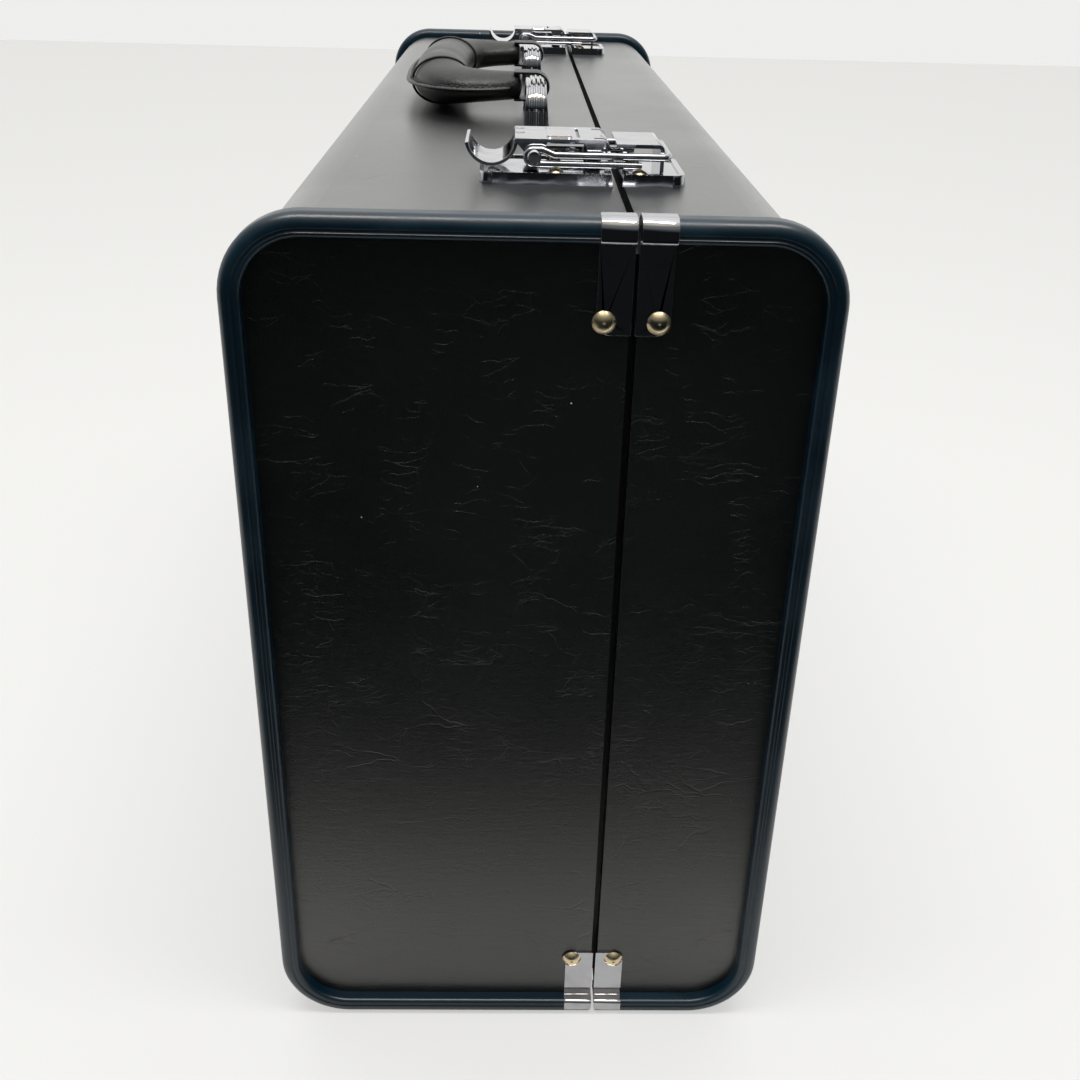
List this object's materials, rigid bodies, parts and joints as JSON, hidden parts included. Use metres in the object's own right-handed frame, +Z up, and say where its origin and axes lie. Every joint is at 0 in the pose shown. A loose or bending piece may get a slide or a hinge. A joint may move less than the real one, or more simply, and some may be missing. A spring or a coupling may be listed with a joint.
{
  "type": "trumpet case",
  "caption": "Hard trumpet case with a hinged lid, draw latches, a flop-over leather handle on arches, round end beads and a fitted plush interior.",
  "frame": {"origin": "middle of the base, on the surface that the beads stand on", "axes": "+X from body to lid across the thickness, +Y along the length, +Z up towards the handle"},
  "size_m": [0.174, 0.5668, 0.3112],
  "materials": {
    "case_vinyl": "black leather-grain vinyl on plywood",
    "bead_vinyl": "satin black vinyl welt",
    "chrome": "bright chrome plate on pressed steel",
    "brass": "polished",
    "hinge_steel": "nickel-plated steel",
    "handle_leather": "black leather with stitched flange",
    "rim_wood": "black painted rim",
    "plush": "short plush over foam"
  },
  "bodies": {
    "case_body": {"bell_block": "plush", "body_bead_far": "bead_vinyl", "body_bead_near": "bead_vinyl", "body_clip_far_base": "chrome", "body_clip_far_top": "chrome", "body_clip_nails": "brass", "body_clip_near_base": "chrome", "body_clip_near_top": "chrome", "body_end_far": "case_vinyl", "body_end_near": "case_vinyl", "body_hinge_far": "hinge_steel", "body_hinge_middle": "hinge_steel", "body_hinge_near": "hinge_steel", "body_hinge_rivets": "hinge_steel", "body_latch_rivets": "brass", "body_lining": "plush", "body_pad": "plush", "body_rim": "rim_wood", "body_wrap": "case_vinyl", "cross_partitions": "plush", "flap_hinge_fixed": "hinge_steel", "flap_hinge_pins": "hinge_steel", "handle_arch_far": "chrome", "handle_arch_near": "chrome", "handle_plates": "hinge_steel", "hinge_pins": "hinge_steel", "latch_base_far": "chrome", "latch_base_near": "chrome", "latch_lever_pins": "chrome", "long_partition": "plush", "mouthpiece_block": "plush", "valve_blocks": "plush"},
    "lid": {"latch_catch_far": "chrome", "latch_catch_near": "chrome", "lid_bead_far": "bead_vinyl", "lid_bead_near": "bead_vinyl", "lid_clip_far_base": "chrome", "lid_clip_far_top": "chrome", "lid_clip_nails": "brass", "lid_clip_near_base": "chrome", "lid_clip_near_top": "chrome", "lid_end_far": "case_vinyl", "lid_end_near": "case_vinyl", "lid_hinge_far": "hinge_steel", "lid_hinge_middle": "hinge_steel", "lid_hinge_near": "hinge_steel", "lid_hinge_rivets": "hinge_steel", "lid_latch_rivets": "brass", "lid_lining": "plush", "lid_pad": "plush", "lid_wrap": "case_vinyl"},
    "latch_lever_near": {"latch_lever_near": "chrome"},
    "latch_lever_far": {"latch_lever_far": "chrome"},
    "latch_bail_near": {"latch_bail_near": "chrome"},
    "latch_bail_far": {"latch_bail_far": "chrome"},
    "handle": {"handle_leather": "handle_leather"},
    "accessory_flap": {"accessory_flap": "plush", "flap_hinge_moving": "hinge_steel", "flap_pull_tab": "handle_leather"}
  },
  "joints": [
    {"name": "lid_hinge", "type": "hinge", "parent": "case_body", "child": "lid", "pos_m": [0.0275, 0, 0.00205], "axis": [0, 1, 0], "range_deg": [0, 105]},
    {"name": "latch_lever_near_pivot", "type": "hinge", "parent": "case_body", "child": "latch_lever_near", "pos_m": [0.019, -0.1985, 0.3011], "axis": [0, 1, 0], "range_deg": [0, 110]},
    {"name": "latch_bail_near_pivot", "type": "hinge", "parent": "latch_lever_near", "child": "latch_bail_near", "pos_m": [0, -0.1985, 0.2994], "axis": [0, 1, 0], "range_deg": [-99, 0]},
    {"name": "latch_lever_far_pivot", "type": "hinge", "parent": "case_body", "child": "latch_lever_far", "pos_m": [0.019, 0.1985, 0.3011], "axis": [0, 1, 0], "range_deg": [0, 110]},
    {"name": "latch_bail_far_pivot", "type": "hinge", "parent": "latch_lever_far", "child": "latch_bail_far", "pos_m": [0, 0.1985, 0.2994], "axis": [0, 1, 0], "range_deg": [-99, 0]},
    {"name": "handle_pivot", "type": "hinge", "parent": "case_body", "child": "handle", "pos_m": [0.0026, 0, 0.3027], "axis": [0, 1, 0], "range_deg": [0, 175]},
    {"name": "flap_hinge", "type": "hinge", "parent": "case_body", "child": "accessory_flap", "pos_m": [0.0001, 0, 0.2791], "axis": [0, -1, 0], "range_deg": [0, 85]}
  ],
  "couplings": [
    {"joint": "latch_bail_near_pivot", "follows": "latch_lever_near_pivot", "ratio": -0.9},
    {"joint": "latch_bail_far_pivot", "follows": "latch_lever_far_pivot", "ratio": -0.9}
  ]
}
